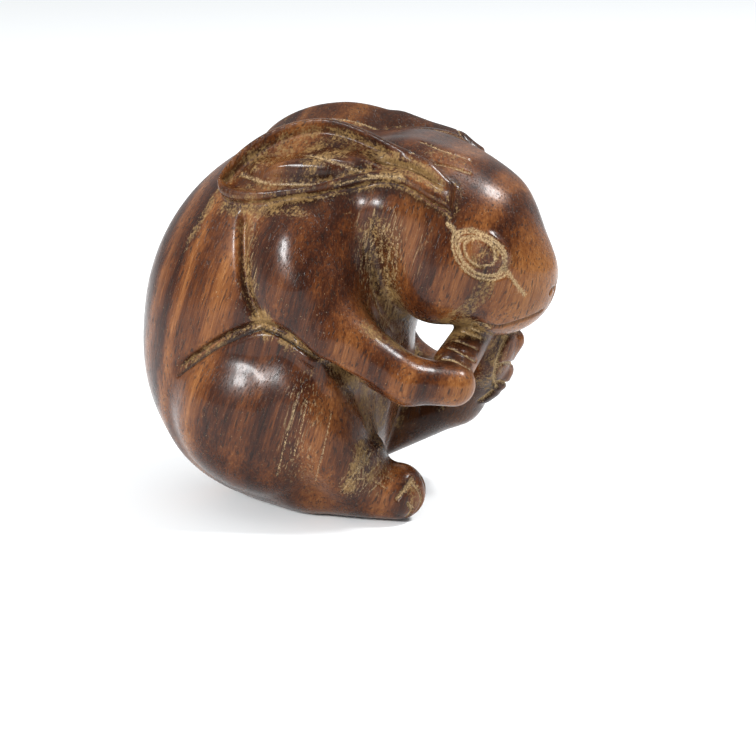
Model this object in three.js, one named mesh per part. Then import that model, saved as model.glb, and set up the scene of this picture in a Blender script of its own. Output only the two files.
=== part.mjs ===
// A netsuke: a hare curled into a ball, holding its raised left hind foot up to its mouth.
// It is one solid, carved from a single block of striped hardwood.
// Millimetres, +Z up. The hare faces +X, its right side is at -Y, and it sits on a true flat at z = 0.
//
// The hare is built as a carver blocks it out. Each mass is an egg or a tapered limb with its own
// centre and radii. The masses are joined with soft fillets, and creases are cut between them.
// "depth" below is the distance from a point to the surface, negative inside the wood.

import * as THREE from "three";

// ---------------------------------------------------------------- driving dimensions
// Places are [x, y, z]. Radii are half sizes along the same axes before tilt, and tilt in degrees
// turns a mass about the Y axis, nose down.

const TRUNK = { at: [-0.25, 0, 16.5], radii: [18.9, 12, 19.9], fullness: 2.4 };
const BREAST = { front: 7.0, waist: 14, slope: 0.3, roundness: 0.028, fillet: 3 };
const THROAT = { at: [4.6, 0, 20.5], radii: [3.2, 7, 5], tilt: 0 };

// Under the rump the right flank lifts off the ground: a sloping face, by its slopes along X and Y.
const RUMP_TUCK = { alongX: 0.3, alongY: 0.26, drop: 3.1, fillet: 3 };

const SKULL = { at: [9.8, 0, 27.8], radii: [10.7, 8.3, 7.9], tilt: 38 };
const BROW = { at: [14.4, 0, 28.5], radii: [4.5, 6, 4.2], tilt: 30 };
const NECK = { at: [6.6, -4.2, 30.2], radii: [4.6, 4.6, 3.6], tilt: 0 };
const MUZZLE = { at: [16, 0, 23.3], radii: [5.6, 5.3, 5.3], tilt: 75 };
const LIPS = { at: [15.5, 0, 20.4], radii: [4.2, 4.3, 2.9], tilt: -8 };
const CHEEK = { at: [11.2, -3.8, 24.4], radii: [4.9, 4.8, 5.4], tilt: 15 };
const EYE = { at: [15.9, -5.7, 27], radii: [2.5, 1.5, 1.7], tilt: 40 };

const EAR = {
  root: 13, // x of the ear's root
  length: [22.4, 23.2], // root to tip, lying back along the shoulder: right ear, left ear
  foot: [-9.25, 32.85], // y and z of the line that the ear lies on
  lean: 51, // degrees that the ear's face leans back from upright
  rootWidth: 1.35, // half width at the root
  stalk: 0.4, // extra half width of the stalk
  blade: 2.25, // extra half width of the blade
  widens: [0.2, 0.62], // where the stalk grows into the blade, as a share of the length
  waist: 0.4, // where the middle line is highest
  roundFrom: 0.66, // where the rounding of the tip starts
  blunt: 0.6, // how square the tip is
  arch: 3.2, // how far the middle line rises above its foot
  sink: [2.7, 1.2], // how far the root lies below the arch: right ear, left ear
  droop: [2.7, 2], // how far the tip lies below the arch: right ear, left ear
  face: 0.25, // how far the middle of the ear stands out from its foot
  bow: 1.5, // how far root and tip drop in towards the body
  tuck: 0.5, // how much further the root's end drops into the head
  rootEnd: 0.12, // the share of the length that the root's end takes up
  thickness: 3.4,
  edge: 1.1, // rounding of the outer edges
};
// What is cut into the ear's face. Runs along the ear are shares of its length, from root to tip.
const EAR_DISH = { depth: 1.35, from: 0.5, to: 1.5, starts: [0.16, 0.36] };
const EAR_FOLD = {
  height: 1.2,
  off: -0.7, // mm from the ear's middle line
  width: [0.25, 1.4], // at the ends, and halfway
  from: 0.22,
  to: 0.84,
  rises: [0.24, 0.4],
  falls: [0.72, 0.84],
};
const EAR_SLIT = { depth: 0.75, off: 0.1, width: 0.42, opens: [0, 0.1], closes: [0.22, 0.4] };

const SHOULDER = { at: [-1.3, -7, 23.6], radii: [5.2, 5.7, 8.2], tilt: 4 };
const RIGHT_ARM = [
  { from: [0.3, -8.9, 22.5], to: [2.2, -9.8, 18.8], radii: [4.2, 3.5] },
  { from: [2.4, -9.8, 18.7], to: [9.4, -9.2, 14.7], radii: [3.3, 2.15] },
  { from: [9.4, -9.2, 14.7], to: [13.3, -7.2, 14.1], radii: [2.15, 2.05] },
];
const LEFT_ARM = [
  { from: [0, 8.9, 22.5], to: [1.6, 9.6, 14.2], radii: [4.2, 3.1] },
  { from: [1.8, 9.6, 13], to: [7.5, 8.6, 10.6], radii: [2.7, 1.9] },
  { from: [7.5, 8.6, 10.6], to: [12.2, 5.8, 13.2], radii: [1.9, 1.7] },
];
const HANDS = [
  { from: [12.9, -5.3, 15.6], to: [13.7, -1.6, 17.5], radii: [2, 1.8] },
  { from: [12.4, 4.8, 14], to: [13.7, 1, 17.2], radii: [1.8, 1.7] },
];

const HAUNCH = { at: [-5, -6.2, 10.3], radii: [9.4, 7.2, 9.1], tilt: 14 };
const THIGH = { at: [0.4, -7.4, 10.9], radii: [4.3, 5.7, 9.2], tilt: -28 };
const ANKLE = { at: [3, -6.6, 4.8], radii: [4, 3.4, 3.6], tilt: 25 };
const RIGHT_FOOT = { from: [-2, -6.4, 2.9], to: [7.5, -5.8, 2.8], radii: [2.9, 2.75] };

const LEFT_SHANK = { from: [0.8, 7.4, 6.3], to: [9.6, 6.6, 9.6], radii: [4.6, 3.4] };
const LEFT_FOOT = { from: [9.7, 6.4, 9.6], to: [13.7, 4.4, 13.4], radii: [3.1, 2.3] };
const LEFT_SOLE = { at: [14.6, 3.2, 14.9], radii: [2, 2.3, 3.4], tilt: 28 };
const LEFT_TOES = [
  { from: [15, 4.3, 13.9], to: [16.3, 3.9, 15.9], radii: [1.25, 1.2] },
  { from: [14.6, 4.7, 11.6], to: [15.2, 4.5, 12.7], radii: [1.2, 1.15] },
  { from: [13.1, 5.3, 10.2], to: [13.9, 5, 10.8], radii: [1.25, 1.2] },
];

// Creases on the right flank, drawn on the side view as [x, z].
const HAUNCH_CREASE = {
  path: [[-13.9, 13.3], [-10.9, 15.7], [-7.5, 18.1], [-3.7, 19.6], [-0.2, 18.4], [4.1, 15.4], [7.4, 13.9]],
  depth: 0.7,
  width: 0.55,
};
const THIGH_CREASE = {
  path: [[1.7, 17.2], [3.7, 14.7], [4.7, 12.4], [5.4, 10.2], [6.1, 7.4]],
  depth: 1,
  width: 0.8,
};
const SHOULDER_CREASE = {
  path: [[-6.4, 30.2], [-6.1, 26.5], [-5.4, 22.6], [-3.7, 19.6]],
  depth: 0.6,
  width: 0.55,
};

const WOOD = { color: 0x5a2c18, roughness: 0.35, metalness: 0 };

// The facets: a fine net is laid over the hare, then thinned to the count that follows.
const NET_STEP = 0.5;
const FACETS = 9400;
const SLIGHT = 0.01;
const BLOCK = { low: [-22, -15.25, -1.25], high: [24, 15.25, 40.5] };

// ---------------------------------------------------------------- shaping tools

const clamp = THREE.MathUtils.clamp;
const rise = THREE.MathUtils.smoothstep;

// Joins two depths with a fillet of the given softness.
function join(a, b, softness) {
  const overlap = Math.max(softness - Math.abs(a - b), 0) / softness;
  return Math.min(a, b) - (overlap * overlap * softness) / 4;
}

// Keeps what lies inside both.
function meet(a, b, softness) {
  return -join(-a, -b, softness);
}

function joinAll(depths, softness) {
  return depths.reduce((whole, depth) => join(whole, depth, softness));
}

function egg(x, y, z, mass) {
  const tilt = THREE.MathUtils.degToRad(mass.tilt);
  const [a, b, c] = mass.radii;
  const dx = x - mass.at[0];
  const dz = z - mass.at[2];
  const u = (dx * Math.cos(tilt) - dz * Math.sin(tilt)) / a;
  const v = (y - mass.at[1]) / b;
  const w = (dx * Math.sin(tilt) + dz * Math.cos(tilt)) / c;
  const reach = Math.hypot(u, v, w);
  return (reach * (reach - 1)) / Math.max(Math.hypot(u / a, v / b, w / c), 1e-6);
}

// A round-ended limb that narrows from one radius to the other.
function limb(x, y, z, { from, to, radii }) {
  const line = to.map((value, axis) => value - from[axis]);
  const gap = [x - from[0], y - from[1], z - from[2]];
  const dot = gap[0] * line[0] + gap[1] * line[1] + gap[2] * line[2];
  const along = clamp(dot / (line[0] ** 2 + line[1] ** 2 + line[2] ** 2), 0, 1);
  const away = Math.hypot(gap[0] - line[0] * along, gap[1] - line[1] * along, gap[2] - line[2] * along);
  return away - THREE.MathUtils.lerp(radii[0], radii[1], along);
}

// Samples a crease's path once as short straight lengths.
function drawn(crease) {
  const nodes = crease.path.map(([x, z]) => new THREE.Vector2(x, z));
  return { ...crease, points: new THREE.SplineCurve(nodes).getPoints(6 * (nodes.length - 1)) };
}

// How deep a crease cuts at a point of the right flank; it fades out at both ends.
function cutBy(crease, x, y, z) {
  let nearest = Infinity;
  let along = 0;
  const last = crease.points.length - 1;
  for (let i = 0; i < last; i += 1) {
    const from = crease.points[i];
    const to = crease.points[i + 1];
    const dx = to.x - from.x;
    const dz = to.y - from.y;
    const t = clamp(((x - from.x) * dx + (z - from.y) * dz) / (dx * dx + dz * dz), 0, 1);
    const away = Math.hypot(x - from.x - dx * t, z - from.y - dz * t);
    if (away < nearest) {
      nearest = away;
      along = (i + t) / last;
    }
  }
  const fade = rise(along, 0, 0.15) * rise(1 - along, 0, 0.15);
  return crease.depth * Math.exp(-((nearest / crease.width) ** 2)) * fade * rise(-y, 2, 4);
}

// ---------------------------------------------------------------- the hare's masses

// Full through the flanks, rounder than an ellipsoid across; flat in front where the breast is.
function trunk(x, y, z) {
  const { at, radii, fullness: n } = TRUNK;
  const u = (x - at[0]) / radii[0];
  const w = (z - at[2]) / radii[2];
  const v = Math.abs(y) / radii[1] + 1e-6;
  const ring = Math.hypot(u, w) + 1e-6;
  const reach = (ring ** n + v ** n) ** (1 / n);
  const pull = reach ** (1 - n);
  const slope = Math.hypot(
    (pull * ring ** (n - 2) * u) / radii[0],
    (pull * v ** (n - 1)) / radii[1],
    (pull * ring ** (n - 2) * w) / radii[2],
  );
  const ball = (reach - 1) / Math.max(slope, 0.5 / radii[2]);
  const breast = x - BREAST.front + Math.max(0, BREAST.waist - z) * BREAST.slope + y * y * BREAST.roundness;
  return join(meet(ball, breast, BREAST.fillet), egg(x, y, z, THROAT), 1.5);
}

function head(x, y, z) {
  const side = -Math.abs(y);
  let depth = join(egg(x, y, z, SKULL), egg(x, y, z, MUZZLE), 3);
  depth = join(depth, egg(x, y, z, BROW), 2);
  depth = join(depth, egg(x, side, z, NECK), 2);
  depth = join(depth, egg(x, side, z, CHEEK), 1.2);
  depth = join(depth, egg(x, y, z, LIPS), 0.5);
  return join(depth, egg(x, side, z, EYE), 0.25);
}

// An ear is a leaf lying back on the shoulder: a stalk with a slit, then a dished blade with a fold.
function ear(x, y, z) {
  const side = y > 0 ? 1 : 0;
  const lean = THREE.MathUtils.degToRad(EAR.lean);
  const dy = -Math.abs(y) - EAR.foot[0];
  const dz = z - EAR.foot[1];
  const across = dy * Math.cos(lean) + dz * Math.sin(lean);
  const out = -dy * Math.sin(lean) + dz * Math.cos(lean);
  const reach = (EAR.root - x) / EAR.length[side];
  const along = clamp(reach, 0, 1);

  const towardsRoot = Math.max(1 - along / EAR.waist, 0);
  const towardsTip = Math.max((along - EAR.waist) / (1 - EAR.waist), 0);
  const middle = EAR.arch - EAR.sink[side] * towardsRoot ** 2 - EAR.droop[side] * towardsTip ** 2;
  const off = across - middle;
  const stalk = EAR.stalk * rise(along, ...EAR_SLIT.opens);
  const half = EAR.rootWidth + stalk + EAR.blade * rise(along, ...EAR.widens);

  const rounded = Math.max(along - EAR.roundFrom, 0) / (1 - EAR.roundFrom);
  const rounding = Math.sqrt(1 - rounded ** 2);
  const blunt = rounded > 0 ? EAR.blunt + (1 - EAR.blunt) * (1 - rounded) : 1;
  const past = Math.max(reach - 1, 0) * EAR.length[side];
  const edge = Math.max(Math.abs(off) - half * rounding, -reach * EAR.length[side]) * blunt + past;

  const face = EAR.face - EAR.bow * (2 * along - 1) ** 2 - EAR.tuck * (1 - rise(along, 0, EAR.rootEnd));
  const dish = rise(-edge, EAR_DISH.from, EAR_DISH.to) * rise(along, ...EAR_DISH.starts);
  const raised = EAR_FOLD.height * earFold(along, off) - EAR_DISH.depth;
  const top = face + raised * dish - EAR_SLIT.depth * earSlit(along, off);
  return meet(meet(edge, out - top, EAR.edge), face - out - EAR.thickness, EAR.edge);
}

// The fold that stands in the dish, 1 along its crest.
function earFold(along, off) {
  const halfway = Math.sin(Math.PI * clamp((along - EAR_FOLD.from) / (EAR_FOLD.to - EAR_FOLD.from), 0, 1));
  const width = THREE.MathUtils.lerp(...EAR_FOLD.width, halfway);
  const reach = rise(along, ...EAR_FOLD.rises) * (1 - rise(along, ...EAR_FOLD.falls));
  return Math.exp(-(((off - EAR_FOLD.off) / width) ** 2)) * reach;
}

// The slit along the stalk, 1 along its bottom.
function earSlit(along, off) {
  const reach = rise(along, ...EAR_SLIT.opens) * (1 - rise(along, ...EAR_SLIT.closes));
  return Math.exp(-(((off - EAR_SLIT.off) / EAR_SLIT.width) ** 2)) * reach;
}

function arm(x, y, z, bones) {
  const [upper, fore, paw] = bones.map((bone) => limb(x, y, z, bone));
  const shoulder = egg(x, -Math.abs(y), z, SHOULDER);
  return join(join(join(shoulder, upper, 2), fore, 1.5), paw, 1);
}

// The right leg is folded flat, with its foot on the ground.
function rightLeg(x, y, z) {
  const folded = joinAll([egg(x, y, z, HAUNCH), egg(x, y, z, THIGH), egg(x, y, z, ANKLE)], 1.5);
  return join(folded, limb(x, y, z, RIGHT_FOOT), 1);
}

// The left leg is raised, and its foot reaches the mouth.
function leftLeg(x, y, z) {
  const folded = join(egg(x, -y, z, HAUNCH), limb(x, y, z, LEFT_SHANK), 1.5);
  const foot = join(limb(x, y, z, LEFT_FOOT), egg(x, y, z, LEFT_SOLE), 1);
  const toes = LEFT_TOES.map((toe) => limb(x, y, z, toe));
  return joinAll([join(folded, foot, 1), ...toes], 0.3);
}

function hands(x, y, z) {
  return joinAll(HANDS.map((hand) => limb(x, y, z, hand)), 0.8);
}

// The sloping face under the rump, as the depth of what lies above it.
function aboveTuck(x, y, z) {
  const { alongX, alongY, drop } = RUMP_TUCK;
  return -(z + alongX * x + alongY * y + drop) / Math.hypot(1, alongX, alongY);
}

const CREASES = [HAUNCH_CREASE, THIGH_CREASE, SHOULDER_CREASE].map(drawn);

function hare(x, y, z) {
  const limbs = [leftLeg(x, y, z), rightLeg(x, y, z), arm(x, y, z, RIGHT_ARM), arm(x, y, z, LEFT_ARM)];
  let depth = joinAll([trunk(x, y, z), ...limbs], 0.6);
  depth = meet(depth, aboveTuck(x, y, z), RUMP_TUCK.fillet);
  depth = join(depth, head(x, y, z), 1.2);
  depth = join(depth, hands(x, y, z), 0.6);
  depth = join(depth, ear(x, y, z), 0.25);
  for (const crease of CREASES) {
    depth += cutBy(crease, x, y, z);
  }
  return Math.max(depth, -z);
}

// ---------------------------------------------------------------- laying a net over the hare

// Where wood meets wood only across a corner, the nearest gap beside it is filled, so that the net
// never pinches.
function closePinholes(depth, stride) {
  const isWood = (place) => depth[place] < 0;
  const isGap = (place) => depth[place] >= 0;
  const pairs = [[0, 1], [1, 2], [0, 2]];
  const cornerSteps = [0, 1, 2, 3, 4, 5, 6, 7].map(
    (bits) => (bits & 1) * stride[0] + ((bits >> 1) & 1) * stride[1] + (bits >> 2) * stride[2],
  );
  // Four corners of a face touch across it when they alternate.
  const facePinches = ([a, b, c, d]) =>
    isWood(a) === isWood(c) && isWood(b) === isWood(d) && isWood(a) !== isWood(b);
  // Two corners of a cell touch through it when they are opposite and alone.
  const alone = (cell, test) => {
    const found = [0, 1, 2, 3, 4, 5, 6, 7].filter((corner) => test(cell[corner]));
    return found.length === 2 && found[0] + found[1] === 7;
  };
  let changed = true;
  while (changed) {
    changed = false;
    for (let at = 0; at + cornerSteps[7] < depth.length; at += 1) {
      const faces = pairs.map(([a, b]) => [at, at + stride[a], at + stride[a] + stride[b], at + stride[b]]);
      const cell = cornerSteps.map((step) => at + step);
      const pinched = faces.filter(facePinches);
      if (alone(cell, isWood) || alone(cell, isGap)) {
        pinched.push(cell);
      }
      for (const corners of pinched) {
        const gaps = corners.filter(isGap).sort((a, b) => depth[a] - depth[b]);
        if (gaps.length > 0) {
          depth[gaps[0]] = -SLIGHT;
          changed = true;
        }
      }
    }
  }
}

// One point in every cell that the surface crosses, at the middle of its crossings, and one
// four-sided mesh of the net around every crossed grid edge.
function netOver(shape, step) {
  const count = BLOCK.low.map((low, axis) => Math.ceil((BLOCK.high[axis] - low) / step) + 1);
  const stride = [1, count[0], count[0] * count[1]];
  const depth = new Float64Array(count[0] * count[1] * count[2]);
  const place = (axis, index) => BLOCK.low[axis] + index * step;
  for (let k = 0, at = 0; k < count[2]; k += 1) {
    for (let j = 0; j < count[1]; j += 1) {
      for (let i = 0; i < count[0]; i += 1, at += 1) {
        depth[at] = shape(place(0, i), place(1, j), place(2, k));
      }
    }
  }

  closePinholes(depth, stride);

  const points = [];
  const pointOf = new Int32Array(depth.length).fill(-1);
  const corners = [0, 1, 2, 3, 4, 5, 6, 7].map((bits) => [bits & 1, (bits >> 1) & 1, bits >> 2]);
  const offset = (corner) => corner[0] * stride[0] + corner[1] * stride[1] + corner[2] * stride[2];
  for (let k = 0; k < count[2] - 1; k += 1) {
    for (let j = 0; j < count[1] - 1; j += 1) {
      for (let i = 0; i < count[0] - 1; i += 1) {
        const cell = i + j * stride[1] + k * stride[2];
        const sum = [0, 0, 0];
        let crossings = 0;
        for (const corner of corners) {
          for (let axis = 0; axis < 3; axis += 1) {
            if (corner[axis] === 1) {
              continue;
            }
            const near = depth[cell + offset(corner)];
            const far = depth[cell + offset(corner) + stride[axis]];
            if (near < 0 === far < 0) {
              continue;
            }
            for (let other = 0; other < 3; other += 1) {
              sum[other] += corner[other] + (other === axis ? near / (near - far) : 0);
            }
            crossings += 1;
          }
        }
        if (crossings > 0) {
          pointOf[cell] = points.length;
          points.push([i, j, k].map((index, axis) => place(axis, index + sum[axis] / crossings)));
        }
      }
    }
  }

  const triangles = [];
  for (let axis = 0; axis < 3; axis += 1) {
    const side = stride[(axis + 1) % 3];
    const up = stride[(axis + 2) % 3];
    for (let at = stride[2]; at + stride[axis] < depth.length; at += 1) {
      const leaving = depth[at] < 0;
      if (leaving === depth[at + stride[axis]] < 0) {
        continue;
      }
      const ring = [at - side - up, at - up, at, at - side].map((cell) => pointOf[cell]);
      const [a, b, c, d] = leaving ? ring : ring.reverse();
      triangles.push([a, b, c], [a, c, d]);
    }
  }
  return { points, triangles };
}

// ---------------------------------------------------------------- thinning the net

// Adds the squared distance to a face's plane to a running 4 x 4 symmetric form.
function addPlane(form, [a, b, c, d], weight) {
  const terms = [a * a, a * b, a * c, a * d, b * b, b * c, b * d, c * c, c * d, d * d];
  terms.forEach((term, i) => {
    form[i] += term * weight;
  });
}

function planeMiss(form, [x, y, z]) {
  const [xx, xy, xz, xw, yy, yz, yw, zz, zw, ww] = form;
  const square = xx * x * x + yy * y * y + zz * z * z + 2 * (xy * x * y + xz * x * z + yz * y * z);
  return square + 2 * (xw * x + yw * y + zw * z) + ww;
}

function facePlane(p, q, r) {
  const u = q.map((value, axis) => value - p[axis]);
  const v = r.map((value, axis) => value - p[axis]);
  const normal = [u[1] * v[2] - u[2] * v[1], u[2] * v[0] - u[0] * v[2], u[0] * v[1] - u[1] * v[0]];
  const size = Math.hypot(...normal);
  const [a, b, c] = normal.map((value) => value / Math.max(size, 1e-12));
  return { plane: [a, b, c, -(a * p[0] + b * p[1] + c * p[2])], area: size / 2 };
}

// The best single point for an edge: where the planes around it meet, else the best of three.
function bestPoint(form, p, q) {
  const [xx, xy, xz, xw, yy, yz, yw, zz, zw] = form;
  const minor = [yy * zz - yz * yz, xz * yz - xy * zz, xy * yz - xz * yy];
  const whole = xx * minor[0] + xy * minor[1] + xz * minor[2];
  const middle = p.map((value, axis) => (value + q[axis]) / 2);
  const choices = [middle, p, q];
  const spread = (xx + yy + zz) ** 3;
  if (Math.abs(whole) > 1e-4 * spread) {
    const solved = [
      -(xw * minor[0] + yw * minor[1] + zw * minor[2]) / whole,
      -(xw * minor[1] + yw * (xx * zz - xz * xz) + zw * (xy * xz - xx * yz)) / whole,
      -(xw * minor[2] + yw * (xy * xz - xx * yz) + zw * (xx * yy - xy * xy)) / whole,
    ];
    const shift = Math.hypot(...solved.map((value, axis) => value - middle[axis]));
    const edge = Math.hypot(...p.map((value, axis) => value - q[axis]));
    if (shift < edge / 2) {
      choices.unshift(solved);
    }
  }
  const misses = choices.map((choice) => planeMiss(form, choice));
  return { point: choices[misses.indexOf(Math.min(...misses))], miss: Math.min(...misses) };
}

// Folds away, cheapest first, the edges whose loss changes the surface least.
function thin({ points, triangles }, target) {
  const forms = points.map(() => new Float64Array(10));
  const facesOf = points.map(() => new Set());
  triangles.forEach((face, index) => {
    const { plane, area } = facePlane(...face.map((corner) => points[corner]));
    for (const corner of face) {
      addPlane(forms[corner], plane, area);
      facesOf[corner].add(index);
    }
  });

  const heap = [];
  const version = new Int32Array(points.length);
  const sink = (from) => {
    let at = from;
    for (;;) {
      const left = 2 * at + 1;
      let least = at;
      for (const child of [left, left + 1]) {
        if (child < heap.length && heap[child].cost < heap[least].cost) {
          least = child;
        }
      }
      if (least === at) {
        return;
      }
      [heap[at], heap[least]] = [heap[least], heap[at]];
      at = least;
    }
  };
  const push = (entry) => {
    let at = heap.push(entry) - 1;
    while (at > 0 && heap[(at - 1) >> 1].cost > heap[at].cost) {
      const parent = (at - 1) >> 1;
      [heap[at], heap[parent]] = [heap[parent], heap[at]];
      at = parent;
    }
  };
  const pop = () => {
    const first = heap[0];
    const last = heap.pop();
    if (heap.length > 0) {
      heap[0] = last;
      sink(0);
    }
    return first;
  };
  const offer = (a, b) => {
    const form = forms[a].map((value, i) => value + forms[b][i]);
    const { point, miss } = bestPoint(form, points[a], points[b]);
    const edge = Math.hypot(...points[a].map((value, axis) => value - points[b][axis]));
    push({ a, b, point, cost: Math.max(miss, 0) + 1e-4 * edge * edge, stamp: version[a] + version[b] });
  };
  const neighbours = (corner) => {
    const found = new Set();
    for (const face of facesOf[corner]) {
      triangles[face].forEach((other) => found.add(other));
    }
    found.delete(corner);
    return found;
  };
  // A face that keeps one end of the edge must not turn over or become a splinter.
  const staysSound = (corner, partner, point) => {
    for (const index of facesOf[corner]) {
      const face = triangles[index];
      if (face.includes(partner)) {
        continue;
      }
      const before = facePlane(...face.map((other) => points[other])).plane;
      const moved = face.map((other) => (other === corner ? point : points[other]));
      const after = facePlane(...moved);
      const turn = before[0] * after.plane[0] + before[1] * after.plane[1] + before[2] * after.plane[2];
      const sides = moved.map((p, i) => {
        const next = moved[(i + 1) % 3];
        return Math.hypot(...p.map((value, axis) => value - next[axis]));
      });
      if (turn < 0.5 || after.area < 0.06 * Math.max(...sides) ** 2) {
        return false;
      }
    }
    return true;
  };

  points.forEach((_, a) => {
    for (const b of neighbours(a)) {
      if (a < b) {
        offer(a, b);
      }
    }
  });
  let left = triangles.length;
  while (left > target && heap.length > 0) {
    const { a, b, point, stamp } = pop();
    if (!points[a] || !points[b] || stamp !== version[a] + version[b]) {
      continue;
    }
    const around = neighbours(a);
    const shared = [...neighbours(b)].filter((other) => around.has(other));
    if (shared.length !== 2 || !staysSound(a, b, point) || !staysSound(b, a, point)) {
      continue;
    }
    for (const index of [...facesOf[b]]) {
      const face = triangles[index];
      if (face.includes(a)) {
        face.forEach((corner) => facesOf[corner].delete(index));
        triangles[index] = null;
        left -= 1;
      } else {
        face[face.indexOf(b)] = a;
        facesOf[a].add(index);
      }
    }
    forms[a] = forms[a].map((value, i) => value + forms[b][i]);
    points[a] = point;
    points[b] = null;
    version[a] += version[b] + 1;
    for (const other of neighbours(a)) {
      offer(a, other);
    }
  }
  return { points, triangles: triangles.filter(Boolean) };
}

// ---------------------------------------------------------------- the finished part

function carve() {
  const net = netOver(hare, NET_STEP);
  for (const point of net.points) {
    if (point[2] < SLIGHT) {
      point[2] = 0;
    }
  }
  const { points, triangles } = thin(net, FACETS);
  const corners = triangles.flat().flatMap((corner) => points[corner]);
  const geometry = new THREE.BufferGeometry();
  geometry.setAttribute("position", new THREE.Float32BufferAttribute(corners, 3));
  geometry.computeBoundingBox();
  const { min, max } = geometry.boundingBox;
  geometry.translate(-(min.x + max.x) / 2, -(min.y + max.y) / 2, -min.z);
  geometry.computeVertexNormals();
  return geometry;
}

const group = new THREE.Group();
const rabbit = new THREE.Mesh(carve(), new THREE.MeshStandardMaterial(WOOD));
rabbit.name = "rabbit";
group.add(rabbit);

export default group;
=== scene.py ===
"""A netsuke: a hare curled into a ball, its raised hind foot held to its mouth.

The whole carving is one block of striped hardwood, so it is one piece here too. The masses are
blocked out as in the solid, then the fine lines are cut in them: eyes, toes, fingers, mouth, fur.
Sizes in the carving are millimetres; the finished piece is in metres, in the part's frame.
"""
import math

import bpy
import numpy as np
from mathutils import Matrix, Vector


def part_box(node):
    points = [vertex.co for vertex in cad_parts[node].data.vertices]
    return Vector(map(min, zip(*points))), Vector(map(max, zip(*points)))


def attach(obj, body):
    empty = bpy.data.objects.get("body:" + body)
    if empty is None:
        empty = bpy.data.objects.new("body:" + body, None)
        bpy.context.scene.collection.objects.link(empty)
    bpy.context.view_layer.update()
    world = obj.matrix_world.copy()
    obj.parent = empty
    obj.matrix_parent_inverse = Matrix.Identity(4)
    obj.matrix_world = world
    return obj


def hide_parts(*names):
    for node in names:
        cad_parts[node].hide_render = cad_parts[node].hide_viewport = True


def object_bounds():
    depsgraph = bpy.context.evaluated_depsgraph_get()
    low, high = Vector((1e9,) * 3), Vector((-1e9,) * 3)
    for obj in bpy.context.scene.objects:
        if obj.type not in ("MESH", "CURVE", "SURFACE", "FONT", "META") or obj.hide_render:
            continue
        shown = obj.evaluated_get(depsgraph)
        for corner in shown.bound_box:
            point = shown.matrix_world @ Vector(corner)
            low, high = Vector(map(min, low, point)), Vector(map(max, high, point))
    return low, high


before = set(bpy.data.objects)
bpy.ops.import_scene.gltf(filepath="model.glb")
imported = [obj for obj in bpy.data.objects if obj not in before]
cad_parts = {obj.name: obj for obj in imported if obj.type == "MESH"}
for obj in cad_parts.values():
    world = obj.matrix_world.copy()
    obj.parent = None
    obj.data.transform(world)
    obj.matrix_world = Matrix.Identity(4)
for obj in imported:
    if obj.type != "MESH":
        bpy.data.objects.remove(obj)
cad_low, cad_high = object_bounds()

MM = 0.001

# ------------------------------------------------------------------ the hare's masses (mm)
# Each egg is (centre, radii, tilt in degrees about Y, nose down); each limb (from, to, two radii).

TRUNK = ((-0.25, 0, 16.5), (18.9, 12, 19.9))
TRUNK_FULLNESS = 2.4
BREAST_FRONT, BREAST_WAIST, BREAST_SLOPE, BREAST_ROUNDNESS = 7.0, 14.0, 0.3, 0.028
THROAT = ((4.6, 0, 20.5), (3.2, 7, 5), 0)
RUMP_TUCK = (0.3, 0.26, 3.1)  # the cut under the rump: how it leans along x and y, and its drop

SKULL = ((9.8, 0, 27.8), (10.7, 8.3, 7.9), 38)
BROW = ((14.4, 0, 28.5), (4.5, 6, 4.2), 30)
NECK = ((6.6, -4.2, 30.2), (4.6, 4.6, 3.6), 0)
MUZZLE = ((16, 0, 23.3), (5.6, 5.3, 5.3), 75)
LIPS = ((15.5, 0, 20.4), (4.2, 4.3, 2.9), -8)
CHEEK = ((11.2, -3.8, 24.4), (4.9, 4.8, 5.4), 15)
EYE = ((15.9, -5.7, 27), (2.5, 1.5, 1.7), 40)

# An ear is laid out in shares of its length, from 0 at the root to 1 at the tip, and in mm across it.
EAR_ROOT = 13.0
EAR_FOOT = (-9.25, 32.85)
EAR_LEAN = math.radians(51)
EAR_LENGTH, LEFT_EAR_LENGTH = 22.4, 23.2
EAR_DROOP, LEFT_EAR_DROOP = 2.7, 2.0
EAR_SINK, LEFT_EAR_SINK = 2.7, 1.2
EAR_ARCH, EAR_WAIST = 3.2, 0.4
EAR_ROOT_WIDTH, EAR_STALK, EAR_BLADE, EAR_WIDENS = 1.35, 0.4, 2.25, (0.2, 0.62)
EAR_ROUND_FROM, EAR_ROUND_LENGTH, EAR_BLUNTNESS = 0.66, 0.34, 0.6
EAR_FACE, EAR_BOW, EAR_TUCK, EAR_ROOT_END = 0.25, 1.5, 0.5, 0.12
EAR_THICKNESS, EAR_EDGE = 3.4, 0.7
DISH_DEPTH, DISH_WALL, DISH_STARTS = 1.35, (0.4, 1.15), (0.16, 0.36)
FOLD_HEIGHT, FOLD_OFF, FOLD_FROM, FOLD_RISES, FOLD_FALLS = 1.2, -0.7, 0.22, (0.24, 0.4), (0.72, 0.84)
FOLD_AS_CUT = (0.25, 1.15, 0.62)  # half width at its ends, what it gains halfway, and its length
SLIT_DEPTH, SLIT_OFF, SLIT_WIDTH, SLIT_OPENS, SLIT_CLOSES = 0.75, 0.1, 0.32, (0, 0.1), (0.22, 0.4)

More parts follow.
